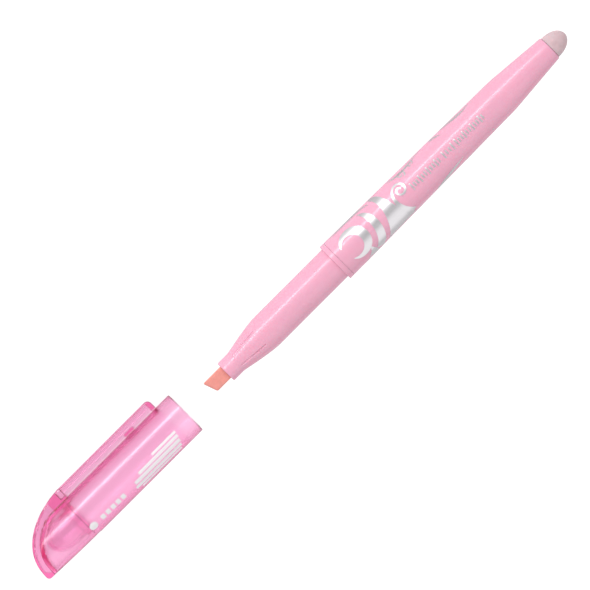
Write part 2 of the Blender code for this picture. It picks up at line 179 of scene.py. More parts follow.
def clear_polystyrene(name, colour, roughness, density):
    """Tinted clear polystyrene: glass-clear, so its colour deepens with the thickness that light crosses."""
    made, tree = empty_material(name)
    # Handling marks: patches about 3 mm across that are a little less clear.
    marks = add(
        tree,
        "ShaderNodeTexNoise",
        {"Vector": (object_place(tree), 0), "Scale": 1 / (3.0 * MM), "Detail": 4.0},
    )
    gloss = add(
        tree,
        "ShaderNodeMapRange",
        {"Value": (marks, "Fac"), "To Min": roughness * 0.7, "To Max": roughness * 1.3},
    )
    shader = add(
        tree,
        "ShaderNodeBsdfPrincipled",
        {
            "Base Color": (*colour, 1.0),
            "Roughness": (gloss, "Result"),
            "IOR": 1.59,
            "Transmission Weight": 1.0,
        },
    )
    # Green is taken out most, about a third of it in each millimetre, blue half as fast and red hardly.
    depth = add(
        tree, "ShaderNodeVolumeAbsorption", {"Color": (0.94, 0.0, 0.53, 1.0), "Density": density}
    )
    add(
        tree,
        "ShaderNodeOutputMaterial",
        {"Surface": (shader, "BSDF"), "Volume": (depth, "Volume")},
    )
    return made


def bonded_felt(colour):
    """Polyester felt pressed into a bar and soaked with ink: matt, with fibres that run towards the tip."""
    made, tree = empty_material("bonded_felt")
    # Fibres about 0.12 mm across and ten times as long, coarser than real ones so that they show.
    fibres = add(
        tree,
        "ShaderNodeTexNoise",
        {"Vector": (object_place(tree, (0.1, 1.0, 1.0)), 0), "Scale": 1 / (0.12 * MM), "Detail": 4.0},
    )
    # Ink lies unevenly over about 1.5 mm.
    soak = add(
        tree,
        "ShaderNodeTexNoise",
        {"Vector": (object_place(tree), 0), "Scale": 1 / (1.5 * MM), "Detail": 2.0},
    )
    uneven = add(tree, "ShaderNodeMath", {0: (fibres, "Fac"), 1: (soak, "Fac")}, operation="MULTIPLY")
    spread = add(
        tree,
        "ShaderNodeMapRange",
        {"Value": (uneven, "Value"), "From Min": 0.12, "From Max": 0.42},
    )
    tint = add(
        tree,
        "ShaderNodeMix",
        {0: (spread, "Result"), 6: shaded(colour, 0.92), 7: shaded(colour, 1.07)},
        data_type="RGBA",
    )
    bump = add(
        tree, "ShaderNodeBump", {"Height": (fibres, "Fac"), "Strength": 0.5, "Distance": 0.04 * MM}
    )
    shader = add(
        tree,
        "ShaderNodeBsdfPrincipled",
        {
            "Base Color": (tint, 2),
            "Roughness": 0.85,
            "Sheen Weight": 0.25,
            "Sheen Roughness": 0.5,
            "Specular IOR Level": 0.3,
            "Subsurface Weight": 0.3,
            "Subsurface Radius": (1.0, 0.4, 0.3),
            "Subsurface Scale": 0.8 * MM,
            "Normal": (bump, "Normal"),
        },
    )
    add(tree, "ShaderNodeOutputMaterial", {"Surface": (shader, "BSDF")})
    return made


def thermoplastic_elastomer(colour):
    """Moulded elastomer, satin and a little see-through, with slightly darker rubbed patches scattered over it."""
    made, tree = empty_material("thermoplastic_elastomer")
    place = object_place(tree)
    # Rubbed patches about 1.2 mm across, and a moulded matt grain of 0.15 mm.
    rubbed = add(tree, "ShaderNodeTexNoise", {"Vector": (place, 0), "Scale": 1 / (1.2 * MM), "Detail": 4.0})
    grain = add(tree, "ShaderNodeTexNoise", {"Vector": (place, 0), "Scale": 1 / (0.15 * MM), "Detail": 2.0})
    patches = add(
        tree,
        "ShaderNodeMapRange",
        {"Value": (rubbed, "Fac"), "From Min": 0.35, "From Max": 0.7},
    )
    tint = add(
        tree,
        "ShaderNodeMix",
        {0: (patches, "Result"), 6: shaded(colour, 1.04), 7: shaded(colour, 0.92)},
        data_type="RGBA",
    )
    gloss = add(
        tree,
        "ShaderNodeMapRange",
        {"Value": (grain, "Fac"), "To Min": 0.42, "To Max": 0.58},
    )
    bump = add(
        tree, "ShaderNodeBump", {"Height": (grain, "Fac"), "Strength": 0.3, "Distance": 0.012 * MM}
    )
    shader = add(
        tree,
        "ShaderNodeBsdfPrincipled",
        {
            "Base Color": (tint, 2),
            "Roughness": (gloss, "Result"),
            "IOR": 1.5,
            "Subsurface Weight": 0.5,
            "Subsurface Radius": (1.0, 0.6, 0.6),
            "Subsurface Scale": 1.5 * MM,
            "Normal": (bump, "Normal"),
        },
    )
    add(tree, "ShaderNodeOutputMaterial", {"Surface": (shader, "BSDF")})
    return made


def hot_stamped_foil(colour):
    """Silver hot-stamped foil: a mirror dulled by the plastic under it, faintly rippled along the stamping."""
    made, tree = empty_material("hot_stamped_foil")
    # Ripples about 0.5 mm apart, drawn out along the pen.
    ripple = add(
        tree,
        "ShaderNodeTexNoise",
        {"Vector": (object_place(tree, (0.2, 1.0, 1.0)), 0), "Scale": 1 / (0.5 * MM), "Detail": 3.0},
    )
    gloss = add(
        tree,
        "ShaderNodeMapRange",
        {"Value": (ripple, "Fac"), "To Min": 0.33, "To Max": 0.43},
    )
    bump = add(
        tree, "ShaderNodeBump", {"Height": (ripple, "Fac"), "Strength": 0.3, "Distance": 0.012 * MM}
    )
    tint = add(
        tree,
        "ShaderNodeMix",
        {0: (ripple, "Fac"), 6: shaded(colour, 0.95), 7: shaded(colour, 1.05)},
        data_type="RGBA",
    )
    shader = add(
        tree,
        "ShaderNodeBsdfPrincipled",
        {
            "Base Color": (tint, 2),
            "Metallic": 1.0,
            "Roughness": (gloss, "Result"),
            "Normal": (bump, "Normal"),
        },
    )
    add(tree, "ShaderNodeOutputMaterial", {"Surface": (shader, "BSDF")})
    return made


def pad_printed_ink(colour):
    """White pad-printed ink: thin and satin, a little uneven where the pad let go."""
    made, tree = empty_material("pad_printed_ink")
    # Patches of thinner ink about 0.4 mm across.
    thin = add(
        tree,
        "ShaderNodeTexNoise",
        {"Vector": (object_place(tree), 0), "Scale": 1 / (0.4 * MM), "Detail": 3.0},
    )
    tint = add(
        tree,
        "ShaderNodeMix",
        {0: (thin, "Fac"), 6: shaded(colour, 0.94), 7: shaded(colour, 1.04)},
        data_type="RGBA",
    )
    bump = add(
        tree, "ShaderNodeBump", {"Height": (thin, "Fac"), "Strength": 0.2, "Distance": 0.005 * MM}
    )
    shader = add(
        tree,
        "ShaderNodeBsdfPrincipled",
        {"Base Color": (tint, 2), "Roughness": 0.42, "Normal": (bump, "Normal")},
    )
    add(tree, "ShaderNodeOutputMaterial", {"Surface": (shader, "BSDF")})
    return made


def inked_fibre_core(colour):
    """Polyester sliver packed lengthwise and soaked with ink: matt and streaked along the pen."""
    made, tree = empty_material("inked_fibre_core")
    # Strands about 0.2 mm across and twenty times as long.
    strands = add(
        tree,
        "ShaderNodeTexNoise",
        {"Vector": (object_place(tree, (0.05, 1.0, 1.0)), 0), "Scale": 1 / (0.2 * MM), "Detail": 3.0},
    )
    tint = add(
        tree,
        "ShaderNodeMix",
        {0: (strands, "Fac"), 6: shaded(colour, 0.8), 7: shaded(colour, 1.15)},
        data_type="RGBA",
    )
    bump = add(
        tree, "ShaderNodeBump", {"Height": (strands, "Fac"), "Strength": 0.6, "Distance": 0.05 * MM}
    )
    shader = add(
        tree,
        "ShaderNodeBsdfPrincipled",
        {"Base Color": (tint, 2), "Roughness": 0.9, "Normal": (bump, "Normal")},
    )
    add(tree, "ShaderNodeOutputMaterial", {"Surface": (shader, "BSDF")})
    return made


def extruded_film(colour):
    """Milky polypropylene film round the core: smooth, with faint die lines along the pen."""
    made, tree = empty_material("extruded_film")
    # Die lines about 0.3 mm apart.
    lines = add(
        tree,
        "ShaderNodeTexNoise",
        {"Vector": (object_place(tree, (0.02, 1.0, 1.0)), 0), "Scale": 1 / (0.3 * MM), "Detail": 2.0},
    )
    tint = add(
        tree,
        "ShaderNodeMix",
        {0: (lines, "Fac"), 6: shaded(colour, 0.95), 7: shaded(colour, 1.05)},
        data_type="RGBA",
    )
    shader = add(
        tree,
        "ShaderNodeBsdfPrincipled",
        {"Base Color": (tint, 2), "Roughness": 0.35, "Transmission Weight": 0.3},
    )
    add(tree, "ShaderNodeOutputMaterial", {"Surface": (shader, "BSDF")})
    return made


def light_table_acrylic(colour, glow):
    """Opal acrylic lit from below: white to look at and through clear plastic, and a soft pale grey elsewhere."""
    made, tree = empty_material("light_table_acrylic")
    # A satin grain about 3 mm across, very weak.
    grain = add(
        tree,
        "ShaderNodeTexNoise",
        {"Vector": (object_place(tree), 0), "Scale": 1 / (3.0 * MM), "Detail": 2.0},
    )
    tint = add(
        tree,
        "ShaderNodeMix",
        {0: (grain, "Fac"), 6: shaded(colour, 0.99), 7: shaded(colour, 1.01)},
        data_type="RGBA",
    )
    path = add(tree, "ShaderNodeLightPath", {})
    seen = add(
        tree,
        "ShaderNodeMath",
        {0: (path, "Is Camera Ray"), 1: (path, "Transmission Depth")},
        operation="MAXIMUM",
    )
    indirect = add(
        tree,
        "ShaderNodeMapRange",
        {"Value": (path, "Is Glossy Ray"), "To Min": glow * 0.62, "To Max": glow * 0.42},
    )
    strength = add(
        tree,
        "ShaderNodeMapRange",
        {"Value": (seen, "Value"), "To Min": (indirect, "Result"), "To Max": glow},
    )
    shader = add(
        tree,
        "ShaderNodeBsdfPrincipled",
        {
            "Base Color": (tint, 2),
            "Roughness": 0.8,
            "Specular IOR Level": 0.1,
            "Emission Color": (1.0, 1.0, 1.0, 1.0),
            "Emission Strength": (strength, "Result"),
        },
    )
    add(tree, "ShaderNodeOutputMaterial", {"Surface": (shader, "BSDF")})
    return made


# ---------------------------------------------------------------------------------------------------------
# Modelling helpers
# ---------------------------------------------------------------------------------------------------------


def deselect():
    if bpy.context.mode != "OBJECT":
        bpy.ops.object.mode_set(mode="OBJECT")
    bpy.ops.object.select_all(action="DESELECT")


def select_only(*pieces):
    deselect()
    for piece in pieces:
        piece.select_set(True)
    bpy.context.view_layer.objects.active = pieces[0]


def named(name):
    """The primitive just added, with its place and size put into its mesh."""
    piece = bpy.context.object
    piece.name = name
    piece.data.name = name
    bpy.ops.object.transform_apply(location=True, rotation=True, scale=True)
    return piece


def edit_all(piece):
    select_only(piece)
    bpy.ops.object.mode_set(mode="EDIT")
    bpy.ops.mesh.select_mode(type="VERT")
    bpy.ops.mesh.select_all(action="SELECT")


def select_parts(piece, faces=None, edges=None):
    """Selects faces or edges in edit mode by a test of the mesh and the face or edge."""
    select_only(piece)
    bpy.ops.object.mode_set(mode="EDIT")
    bpy.ops.mesh.select_mode(type="FACE" if faces else "EDGE")
    bpy.ops.mesh.select_all(action="DESELECT")
    bpy.ops.object.mode_set(mode="OBJECT")
    test, parts = (faces, piece.data.polygons) if faces else (edges, piece.data.edges)
    chosen = 0
    for part in parts:
        part.select = test(piece.data, part)
        chosen += part.select
    if not chosen:
        raise RuntimeError(f"{piece.name}: nothing was selected")
    bpy.ops.object.mode_set(mode="EDIT")


def ends_of(mesh, edge):
    return [mesh.vertices[corner].co for corner in edge.vertices]


def close_up(piece):
    """Merges the doubles at seams and poles, and turns the faces outwards."""
    edit_all(piece)
    bpy.ops.mesh.remove_doubles(threshold=WELD)
    bpy.ops.mesh.normals_make_consistent(inside=False)
    bpy.ops.object.mode_set(mode="OBJECT")
    return piece


def apply_modifiers(piece):
    select_only(piece)
    for modifier in list(piece.modifiers):
        bpy.ops.object.modifier_apply(modifier=modifier.name)


def round_edges(piece, width, segments=3, angle=SHARP):
    bevel = piece.modifiers.new("round_edges", "BEVEL")
    bevel.width = width
    bevel.segments = segments
    bevel.limit_method = "ANGLE"
    bevel.angle_limit = angle
    apply_modifiers(piece)


def combine(piece, other, operation):
    """Cuts or joins another piece, which is then thrown away."""
    modifier = piece.modifiers.new("combine", "BOOLEAN")
    modifier.operation = operation
    modifier.solver = "EXACT"
    modifier.object = other
    apply_modifiers(piece)
    bpy.data.objects.remove(other)


def smooth(piece, angle=SHARP):
    select_only(piece)
    bpy.ops.object.shade_smooth_by_angle(angle=angle)


def lay_down(piece, origin):
    """Turns a standing piece down round its frame's origin, and puts its place into its mesh."""
    axes = Matrix((CLIP_WAY, FOIL_WAY, PEN_WAY)).transposed().to_4x4()
    select_only(piece)
    piece.matrix_world = Matrix.Translation(origin) @ axes
    bpy.ops.object.transform_apply(location=True, rotation=True, scale=True)


def finish_piece(piece, origin, material, body, nodes):
    """Lays a piece down, gives it its finish and hands it to the frame. A piece that bends rides on no body."""
    lay_down(piece, origin)
    piece.data.materials.clear()
    piece.data.materials.append(material)
    if body:
        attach(piece, body)
    if nodes:
        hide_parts(*nodes)
    return piece


def cubic(t, controls):
    """The cubic curve that four numbers or vectors control, at t from 0 to 1."""
    first, second, third, last = controls
    early = (1 - t) ** 3 * first + 3 * (1 - t) ** 2 * t * second
    return early + 3 * (1 - t) * t**2 * third + t**3 * last


def bezier(start, start_handle, end_handle, end, steps):
    """Points along one cubic curve, both ends included."""
    controls = [Vector(point) for point in (start, start_handle, end_handle, end)]
    return [cubic(step / steps, controls) for step in range(steps + 1)]


def outlined(corners, longest=4 * MM, steps=4):
    """The (radius, height) points of an outline. A corner's third number is the radius of its rounding."""
    points = []
    for index, (radius, height, rounding) in enumerate(corners):
        here = Vector((radius, height))
        if not rounding:
            points.append(here)
            continue
        before = (Vector(corners[index - 1][:2]) - here).normalized()
        after = (Vector(corners[index + 1][:2]) - here).normalized()
        reach = rounding / math.tan(before.angle(after) / 2)
        for step in range(steps + 1):
            t = step / steps
            along = (1 - t) ** 2 * reach * before + t**2 * reach * after
            points.append(here + along)
    fine = [points[0]]
    for point in points[1:]:
        start = fine[-1]
        pieces = max(1, math.ceil((point - start).length / longest))
        fine.extend(start.lerp(point, step / pieces) for step in range(1, pieces + 1))
    return [(point.x, point.y) for point in fine]


def turned(name, outline, solid=False):
    """A round piece, drawn out ring by ring from (radius, height) points. One that isn't solid is a closed ring."""
    radius, height = outline[0]
    deselect()
    bpy.ops.mesh.primitive_circle_add(
        vertices=AROUND,
        radius=radius,
        location=(0, 0, height),
        fill_type="NGON" if solid else "NOTHING",
    )
    piece = named(name)
    bpy.ops.object.mode_set(mode="EDIT")
    bpy.ops.mesh.select_all(action="SELECT")
    for next_radius, next_height in outline[1:]:
        bpy.ops.mesh.extrude_region_move(
            TRANSFORM_OT_translate={"value": (0, 0, next_height - height)}
        )
        if next_radius < WELD:
            bpy.ops.mesh.merge(type="CENTER")
            break
        share = next_radius / radius
        bpy.ops.transform.resize(value=(share, share, 1), center_override=(0, 0, next_height))
        radius, height = next_radius, next_height
    return close_up(piece)


def block(name, low, high, rounding=0.0):
    """A box between two corners, with its edges rounded."""
    deselect()
    low, high = Vector(low), Vector(high)
    bpy.ops.mesh.primitive_cube_add(size=1, location=(low + high) / 2, scale=high - low)
    piece = named(name)
    if rounding:
        round_edges(piece, rounding)
    return piece


def copy_of(piece, name, turn):
    """A copy with its own mesh, turned about the standing pen's axis."""
    made = piece.copy()
    made.data = piece.data.copy()
    made.name = name
    made.data.name = name
    bpy.context.scene.collection.objects.link(made)
    select_only(made)
    made.matrix_world = Matrix.Rotation(turn, 4, "Z")
    bpy.ops.object.transform_apply(location=True, rotation=True, scale=True)
    return made


def height_at(points, along):
    """The first number of a run of (across, along) points where along falls steadily, found between them."""
    for before, after in zip(points, points[1:]):
        if before[1] >= along >= after[1] and before[1] > after[1]:
            share = (before[1] - along) / (before[1] - after[1])
            return before[0] + share * (after[0] - before[0])
    return points[0][0] if along > points[0][1] else points[-1][0]


# ---------------------------------------------------------------------------------------------------------
# Sizes and colours
# ---------------------------------------------------------------------------------------------------------


def length(name, description, millimetres):
    return bpy.props.FloatProperty(
        name=name, description=description, default=millimetres * MM, unit="LENGTH", precision=5
    )


def colour(name, description, code):
    return bpy.props.FloatVectorProperty(
        name=name,
        description=description,
        default=hex_colour(code),
        size=3,
        min=0.0,
        max=1.0,
        subtype="COLOR",
    )


class PenSizes(bpy.types.PropertyGroup):
    collar_radius: length("Collar radius", "Radius of the collar that stops the cap", 5.6)
    collar_length: length("Collar length", "Length of the collar along the pen", 1.4)
    barrel_length: bpy.props.FloatProperty(
        name="Barrel length",
        description="From the collar's front face to the barrel's rear edge",
        default=BARREL_HIGH.x - COLLAR_AT.x,
        unit="LENGTH",
        precision=5,
    )
    draft_radius: length("Drafted radius", "Radius where the barrel's straight draft ends", 4.98)
    tail_radius: length("Tail radius", "Radius where the tapered tail starts", 4.57)
    end_radius: length("End radius", "Radius of the barrel's rear edge", 3.5)
    grip_radius: length("Grip radius", "Radius of the section behind the flutes", 4.78)
    lip_radius: length("Lip radius", "Radius of the lip round the nib", 3.05)
    section_length: length("Section length", "From the collar's front face to the lip's end", 39.5)
    flutes: bpy.props.IntProperty(
        name="Flutes", description="Number of flutes round the flare", default=6, min=0, max=12
    )
    flute_width: length("Flute width", "Width of one flute", 0.7)
    nib_width: length("Nib width", "Width of the felt bar across its chisel edge", 4.0)
    nib_thickness: length("Nib thickness", "Thickness of the felt bar", 3.0)
    nib_slant: length("Nib slant", "How much the long corner reaches past the short one", 1.4)
    eraser_radius: length("Eraser radius", "Radius of the eraser's skirt", 3.25)


class CapSizes(bpy.types.PropertyGroup):
    radius: length("Tube radius", "Outer radius of the cap's tube", 6.245)
    length: bpy.props.FloatProperty(
        name="Cap length",
        description="From the mouth to the end of the tail",
        default=CAP_HIGH.x - CAP_LOW.x,
        unit="LENGTH",
        precision=5,
    )
    bore: length("Bore", "Inner radius of the tube", 5.1)
    mouth_bore: length("Mouth bore", "Inner radius just inside the mouth", 5.3)
    mouth_depth: length("Mouth depth", "Depth of the wider mouth", 4.2)
    clip_height: length("Clip height", "From the cap's axis to the clip's outer face", 9.23)
    clip_width: length("Clip width", "Width of the clip and of the spine behind it", 5.0)
    clip_depth: length("Clip depth", "Thickness of the clip with its channel's lips", 2.9)
    clip_start: length("Clip start", "From the mouth to the clip's free end", 4.6)
    clip_root: length("Clip root", "From the mouth to the clip's root", 36.7)
    spine_depth: length("Spine depth", "How far the spine stands above the tail", 2.2)


class FinishColours(bpy.types.PropertyGroup):
    plastic: colour("Pen plastic", "Moulded polypropylene of barrel and section", "#F1AEC6")
    clear: colour("Clear plastic", "Surface tint of the clear cap", "#FFFFFF")
    felt: colour("Felt", "Inked felt of the nib", "#ED9C92")
    eraser: colour("Eraser", "Elastomer of the eraser", "#D6BBC0")
    foil: colour("Foil", "Hot-stamped foil pattern", "#E4E1E4")
    ink: colour("Print", "Printed marks on the cap", "#FDF7FA")
    core: colour("Ink core", "Soaked fibre core inside the barrel", "#F0857C")
    film: colour("Core film", "Film round the fibre core", "#E9E2E2")
    table: colour("Table", "Light table under the highlighter", "#9A9A9A")


class PatternSizes(bpy.types.PropertyGroup):
    foil_thickness: length("Foil thickness", "How thick the foil stands on the barrel", 0.02)
    print_thickness: length("Print thickness", "How thick the ink stands on the cap", 0.015)
    bar_height: length("Bar height", "Height of the tallest foil bars", 2.2)
    back_turn: bpy.props.FloatProperty(
        name="Back turn",
        description="Turn from the pattern to its repeat on the back",
        default=math.radians(172),
        subtype="ANGLE",
    )


class StageSizes(bpy.types.PropertyGroup):
    view_width: length("View width", "Width that the camera sees where the pen lies", 150.84)
    lens: bpy.props.FloatProperty(
        name="Lens", description="Focal length of the camera in millimetres", default=400.0, unit="CAMERA"
    )
    table_size: length("Table size", "Side of the square light table", 6000.0)
    table_glow: bpy.props.FloatProperty(
        name="Table glow", description="Light that the table gives off itself", default=0.88, min=0.0
    )


# ---------------------------------------------------------------------------------------------------------
# The pen
# ---------------------------------------------------------------------------------------------------------


def barrel_profile(pen):
    """(radius, height) points of the barrel's outside, from the collar to the rear edge."""
    start = BARREL_START
    rear = pen.barrel_length
    shoulder = bezier(
        (pen.draft_radius, 57.0 * MM),
        (pen.draft_radius - 0.02 * MM, 60.4 * MM),
        (pen.draft_radius - 0.02 * MM, 60.4 * MM),
        (pen.tail_radius, 65.0 * MM),
        14,
    )
    corners = [
        (pen.collar_radius, start, 0.0),
        *((point.x, point.y, 0.0) for point in shoulder),
        (pen.end_radius, rear, 0.0),
    ]
    return outlined(corners)


class HIGHLIGHTER_OT_barrel(bpy.types.Operator):
    """Barrel: a drafted tube with a tapered tail, a socket for the section and a neck for the eraser"""

    bl_idname = "highlighter.barrel"
    bl_label = "Barrel"

    def execute(self, context):
        pen = context.scene.highlighter_pen
        rear = pen.barrel_length
        outside = barrel_profile(pen)
        corners = [
            (4.2 * MM, 30 * MM, 0.0),
            (4.2 * MM, 13.4 * MM, 0.0),
            (4.75 * MM, 12.9 * MM, 0.0),
            (4.75 * MM, JOINT, 0.0),
            (pen.collar_radius, JOINT, 0.1 * MM),
            *((radius, height, 0.0) for radius, height in outside[1:-1]),
            (pen.end_radius, rear, 0.35 * MM),
            (2.5 * MM, rear, 0.0),
            (2.5 * MM, rear - 2.5 * MM, 0.0),
            (2.9 * MM, rear - 2.5 * MM, 0.0),
            (3.15 * MM, 68 * MM, 0.0),
            (4.2 * MM, 56 * MM, 0.0),
            (4.2 * MM, 30 * MM, 0.0),
        ]
        piece = turned("barrel_moulding", outlined(corners))
        smooth(piece)
        plastic = moulded_polypropylene(context.scene.highlighter_colours.plastic)
        finish_piece(piece, COLLAR_AT, plastic, "pen", ["barrel"])
        return {"FINISHED"}


class HIGHLIGHTER_OT_section(bpy.types.Operator):
    """Section: the collar, the grip, the fluted flare and the lip that holds the nib"""

    bl_idname = "highlighter.section"
    bl_label = "Front section"

    def execute(self, context):
        pen = context.scene.highlighter_pen
        end = -pen.section_length
        back = pen.collar_length + 10 * MM
        flare = bezier(
            (pen.grip_radius, -24.3 * MM),
            (pen.grip_radius, -28.2 * MM),
            (pen.lip_radius, -35.4 * MM),
            (pen.lip_radius, -36.0 * MM),
            36,
        )
        corners = [
            (4.0 * MM, -6 * MM, 0.0),
            (4.0 * MM, back, 0.0),
            (4.45 * MM, back, 0.2 * MM),
            (4.45 * MM, pen.collar_length, 0.0),
            (pen.collar_radius, pen.collar_length, 0.1 * MM),
            (pen.collar_radius, 0, 0.15 * MM),
            (pen.grip_radius, 0, 0.12 * MM),
            *((point.x, point.y, 0.0) for point in flare),
            (pen.lip_radius, end, 0.35 * MM),
            (1.0 * MM, end, 0.0),
            (1.0 * MM, -23 * MM, 0.0),
            (4.0 * MM, -22 * MM, 0.0),
            (4.0 * MM, -6 * MM, 0.0),
        ]
        piece = turned("section_moulding", outlined(corners, longest=2 * MM))
        gap = 0.15 * MM
        half = Vector((pen.nib_width / 2 + gap, pen.nib_thickness / 2 + gap, 0))
        slot = block(
            "nib_slot",
            (-half.x, -half.y, end - 2 * MM),
            (half.x, half.y, -21.0 * MM),
            0.5 * MM,
        )
        combine(piece, slot, "DIFFERENCE")
        wide = pen.flute_width / 2
        rear, front = -27.0 * MM, -35.4 * MM
        flute = block("flute", (3.75 * MM, -wide, front), (6.5 * MM, wide, rear))
        for vertex in flute.data.vertices:
            if vertex.co.x < 4 * MM:
                # The flute's floor falls towards the lip, so that it fades out there.
                vertex.co.x = 4.42 * MM if vertex.co.z > (rear + front) / 2 else 3.0 * MM
        round_edges(flute, wide * 0.9)
        for index in range(pen.flutes):
            turn = 2 * math.pi * index / pen.flutes
            combine(piece, copy_of(flute, f"flute_{index}", turn), "DIFFERENCE")
        bpy.data.objects.remove(flute)
        self.cut_gate_mark(piece, pen)
        smooth(piece, math.radians(28))
        plastic = moulded_polypropylene(context.scene.highlighter_colours.plastic)
        finish_piece(piece, COLLAR_AT, plastic, "pen", ["front_section"])
        return {"FINISHED"}

    def cut_gate_mark(self, piece, pen):
        """A shallow disc where the plastic entered the mould, on the foil side of the grip."""
        turn = math.asin(2.0 * MM / pen.grip_radius)
        way = Vector((math.sin(turn), math.cos(turn), 0))
        depth = 0.12 * MM
        centre = (pen.grip_radius - depth + 0.5 * MM) * way + Vector((0, 0, -5 * MM))
        deselect()
        bpy.ops.mesh.primitive_cylinder_add(
            vertices=40,
            radius=0.42 * MM,
            depth=1 * MM,
            location=centre,
            rotation=way.to_track_quat("Z", "Y").to_euler(),
        )
        mark = named("gate_mark")
        round_edges(mark, 0.03 * MM, segments=2)
        combine(piece, mark, "DIFFERENCE")


class HIGHLIGHTER_OT_nib(bpy.types.Operator):
    """Nib: a felt bar with a slanted chisel end, and a taper that reaches into the ink core"""

    bl_idname = "highlighter.nib"
    bl_label = "Nib"

    def execute(self, context):
        pen = context.scene.highlighter_pen
        half = pen.nib_width / 2
        thick = pen.nib_thickness / 2
        long_tip = NIB_LOW.x - COLLAR_AT.x
        shoulder = -20.5 * MM
        piece = block(
            "felt_nib", (-half, -thick, long_tip - 1 * MM), (half, thick, shoulder)
        )
        edit_all(piece)
        bpy.ops.mesh.bisect(
            plane_co=(half, 0, long_tip),
            plane_no=Vector((pen.nib_slant, 0, 2 * half)).normalized(),
            use_fill=True,
            clear_inner=True,
            threshold=WELD,
        )
        select_parts(piece, faces=lambda mesh, face: face.normal.z > 0.9)
        bpy.ops.mesh.extrude_region_move(TRANSFORM_OT_translate={"value": (0, 0, 6 * MM)})
        bpy.ops.transform.resize(value=(0.5, 1, 1), center_override=(0, 0, shoulder))
        bpy.ops.object.mode_set(mode="OBJECT")
        self.round_felt(piece)
        smooth(piece, math.radians(40))
        felt = bonded_felt(context.scene.highlighter_colours.felt)
        finish_piece(piece, COLLAR_AT, felt, "pen", ["nib"])
        return {"FINISHED"}

    def round_felt(self, piece):
        """Rounds the bar's edges."""
        round_edges(piece, 0.42 * MM, segments=5)


class HIGHLIGHTER_OT_eraser(bpy.types.Operator):
    """Eraser: a domed tip, with a stem through the barrel's neck and a barb behind it"""

    bl_idname = "highlighter.eraser"
    bl_label = "Eraser"

    def execute(self, context):
        pen = context.scene.highlighter_pen
        rear = pen.barrel_length
        seat = rear + 0.05 * MM
        top = ERASER_HIGH.x - COLLAR_AT.x
        skirt = rear + 0.45 * MM
        wide = pen.eraser_radius
        steps = 32
        dome = []
        for step in range(steps):
            angle = math.pi / 2 * step / steps
            dome.append((wide * math.cos(angle), skirt + (top - skirt) * math.sin(angle), 0.0))
        corners = [
            (2.2 * MM, rear - 5.0 * MM, 0.0),
            (2.2 * MM, rear - 3.7 * MM, 0.0),
            (2.6 * MM, rear - 2.7 * MM, 0.0),
            (2.2 * MM, rear - 2.7 * MM, 0.0),
            (2.2 * MM, seat, 0.0),
            (wide, seat, 0.12 * MM),
            *dome,
            (0.0, top, 0.0),
        ]
        piece = turned("eraser_tip", outlined(corners), solid=True)
        smooth(piece, math.radians(50))
        rubber = thermoplastic_elastomer(context.scene.highlighter_colours.eraser)
        finish_piece(piece, COLLAR_AT, rubber, "pen", ["eraser"])
        return {"FINISHED"}


class HIGHLIGHTER_OT_ink_core(bpy.types.Operator):
    """Ink core: the fibre core and its film, which keep their shapes and get their finishes"""

    bl_idname = "highlighter.ink_core"
    bl_label = "Ink core"

    def execute(self, context):
        colours = context.scene.highlighter_colours
        finishes = {
            "ink_reservoir": inked_fibre_core(colours.core),
            "reservoir_film": extruded_film(colours.film),
        }
        for node, material in finishes.items():
            mesh = frame["nodes"][node].data
            mesh.materials.clear()
            mesh.materials.append(material)
        return {"FINISHED"}


# ---------------------------------------------------------------------------------------------------------
# The cap
# ---------------------------------------------------------------------------------------------------------

# One cross-section of the cap: a round body between a top and a bottom line, joined to a square rib. All its
# numbers are in metres from the cap's axis, except along, which counts from the mouth.
Ring = namedtuple("Ring", "along radius top bottom rib_half rib_top")


def softly_least(reaches, sharpness):
    """The least of several reaches, with the corner between them rounded."""
    scale = min(reaches)
    return scale * sum((reach / scale) ** -sharpness for reach in reaches) ** (-1 / sharpness)


def reach_of(ring, middle, turn):
    """How far the wall of a cross-section is from its middle, in this turn from the clip's side."""
    across, up = math.sin(turn), math.cos(turn)
    body = 0.0
    if ring.top > middle:
        edges = [math.sqrt(ring.radius**2 - (middle * across) ** 2) - middle * up]
        if up > 1e-6:
            edges.append((ring.top - middle) / up)
        if up < -1e-6:
            edges.append((ring.bottom - middle) / up)
        body = softly_least(edges, 40)
    if not ring.rib_half:
        return body
    edges = [ring.rib_half / max(abs(across), 1e-6)]
    if up > 1e-6:
        edges.append((ring.rib_top - middle) / up)
    if up < -1e-6:
        edges.append((ring.bottom - middle) / up)
    rib = softly_least(edges, 24)
    if up < 0 and body:
        return body
    return (body**60 + rib**60) ** (1 / 60) if body else rib


def lofted(name, rings):
    """A shape drawn out ring by ring, each ring then pulled to its own cross-section."""
    deselect()
    bpy.ops.mesh.primitive_circle_add(vertices=AROUND + 16, radius=1, fill_type="NOTHING")
    piece = named(name)
    bpy.ops.object.mode_set(mode="EDIT")
    bpy.ops.mesh.select_all(action="SELECT")
    for _ in rings[1:]:
        bpy.ops.mesh.extrude_region_move(TRANSFORM_OT_translate={"value": (0, 0, -1)})
    bpy.ops.object.mode_set(mode="OBJECT")
    for vertex in piece.data.vertices:
        ring = rings[round(-vertex.co.z)]
        share = math.atan2(vertex.co.y, vertex.co.x) / math.pi
        # Three fifths of even spacing keeps more points on the clip's side, where the rib needs them.
        turn = math.pi * (0.6 * share + 0.4 * share**3)
        high = min(ring.top, ring.radius)
        middle = min(0.0, (high + ring.bottom) / 2) if high > ring.bottom else ring.bottom
        if ring.rib_half:
            middle = min(max(middle, ring.bottom + 0.3 * MM), (ring.rib_top + ring.bottom) / 2)
        reach = reach_of(ring, middle, turn)
        vertex.co = (middle + reach * math.cos(turn), reach * math.sin(turn), ring.along)
    return close_up(piece)


